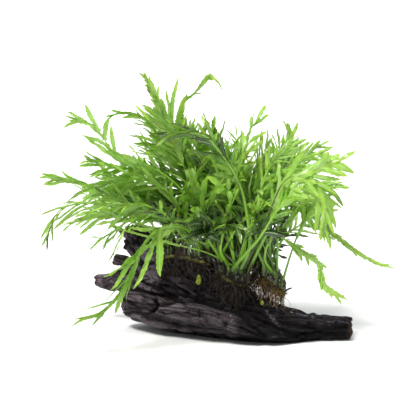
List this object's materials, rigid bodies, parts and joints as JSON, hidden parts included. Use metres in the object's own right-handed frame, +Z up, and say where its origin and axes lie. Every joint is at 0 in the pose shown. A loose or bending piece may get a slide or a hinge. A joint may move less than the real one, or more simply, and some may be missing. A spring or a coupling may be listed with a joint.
{
  "type": "fern on driftwood",
  "caption": "Bushy water fern with long lobed fronds on creeping rhizomes, rooted on a dark piece of driftwood that rests on its flat underside.",
  "frame": {"origin": "on the flat underside of the driftwood trunk, where it rests", "axes": "+Z up, +X along the driftwood towards its low chipped end, -Y towards the front of the bush"},
  "size_m": [0.277, 0.1695, 0.211],
  "materials": {
    "driftwood": "dark damp grain with a dull sheen",
    "broken_wood": "rough broken brown wood",
    "rhizome": "scaly olive and brown stem",
    "roots": "matted wiry root fibres",
    "bud": "soft yellow-green bud",
    "fronds": "thin satin leaf with veins"
  },
  "bodies": {
    "root": {"driftwood_trunk": "driftwood", "driftwood_front_limb": "driftwood", "driftwood_upper_stump": "driftwood", "driftwood_side_branch": "driftwood", "driftwood_back_tip": "driftwood", "driftwood_broken_stub": "broken_wood", "rhizome_left": "rhizome", "rhizome_middle": "rhizome", "rhizome_right": "rhizome", "rhizome_back_left": "rhizome", "rhizome_back_right": "rhizome", "root_mat_left": "roots", "root_mat_middle": "roots", "root_mat_right": "roots", "root_mat_back": "roots", "green_bud_left": "bud", "dark_bud_right": "bud", "pale_bud_right": "bud", "tall_left_frond": "fronds", "top_arching_frond": "fronds", "centre_arching_frond": "fronds", "upper_right_frond": "fronds", "right_leaf_tip_frond": "fronds", "right_top_frond": "fronds", "right_high_frond": "fronds", "pale_right_frond": "fronds", "right_middle_frond": "fronds", "right_drooping_frond": "fronds", "far_right_frond": "fronds", "low_right_frond": "fronds", "front_right_frond": "fronds", "upper_left_arching_frond": "fronds", "left_upper_frond": "fronds", "left_straight_frond": "fronds", "left_middle_frond": "fronds", "left_drooping_frond": "fronds", "left_low_frond": "fronds", "stump_frond": "fronds", "front_hanging_frond": "fronds", "pale_low_left_frond": "fronds", "centre_tall_frond": "fronds", "centre_broad_frond": "fronds", "centre_front_frond": "fronds", "centre_back_frond": "fronds", "left_centre_frond": "fronds", "right_centre_frond": "fronds", "low_centre_frond": "fronds", "front_low_right_frond": "fronds", "front_left_low_frond": "fronds", "back_left_frond": "fronds", "back_centre_frond": "fronds", "back_right_frond": "fronds", "back_low_right_frond": "fronds", "back_low_frond": "fronds", "back_low_left_frond": "fronds"}
  },
  "joints": []
}
